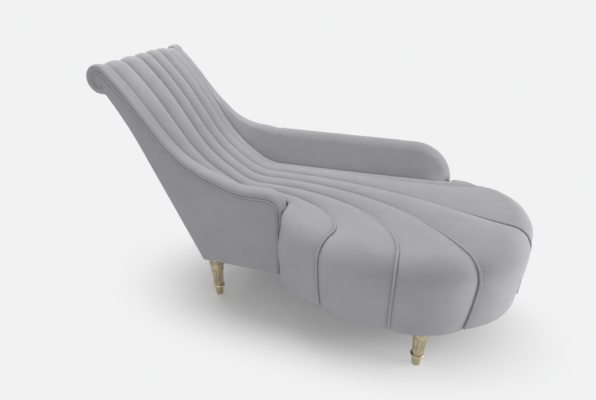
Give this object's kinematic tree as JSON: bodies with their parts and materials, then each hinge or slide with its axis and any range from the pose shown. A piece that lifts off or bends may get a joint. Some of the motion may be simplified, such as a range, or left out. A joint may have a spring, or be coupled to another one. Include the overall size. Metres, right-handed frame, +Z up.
{
  "type": "chaise longue",
  "caption": "Upholstered chaise longue with a raked channelled scroll back, a broad rounded foot end, one short and one long arm, on turned brass legs.",
  "frame": {"origin": "on the floor under the centre of the overall box", "axes": "+Z up, +Y towards the head end with the scroll, -X the near side with the short arm"},
  "size_m": [0.7248, 1.5269, 0.9057],
  "materials": {
    "velvet": "short dense nap, low sheen",
    "welt": "the same cloth over cord",
    "cover_cloth": "plain thin cloth",
    "foam": "matte open foam",
    "webbing": "woven strap",
    "board": "plain sanded board",
    "brass": "brushed antique gold colour",
    "steel": "zinc plated",
    "glide": "plain"
  },
  "bodies": {
    "root": {"channel_1": "velvet", "channel_2": "velvet", "channel_3": "velvet", "channel_4": "velvet", "channel_5": "velvet", "channel_6": "velvet", "seam_welt_1": "welt", "seam_welt_2": "welt", "seam_welt_3": "welt", "seam_welt_4": "welt", "seam_welt_5": "welt", "near_wing_band": "velvet", "near_side_panel": "velvet", "near_double_welt": "welt", "near_side_frame": "board", "far_wing_band": "velvet", "far_side_panel": "velvet", "far_double_welt": "welt", "far_side_frame": "board", "outer_back_panel": "velvet", "dust_cover": "cover_cloth", "base_board": "board", "seat_deck": "board", "seat_foam": "foam", "foot_former": "board", "back_foam": "foam", "back_webbing": "webbing", "rail_lower": "board", "rail_middle": "board", "rail_upper": "board", "scroll_rod": "board", "deck_struts": "board", "leg_rear_near": "brass", "leg_rear_far": "brass", "leg_front_near": "brass", "leg_front_far": "brass", "leg_glides": "glide", "leg_studs": "steel", "leg_plates": "steel", "plate_screws": "steel"}
  },
  "joints": []
}
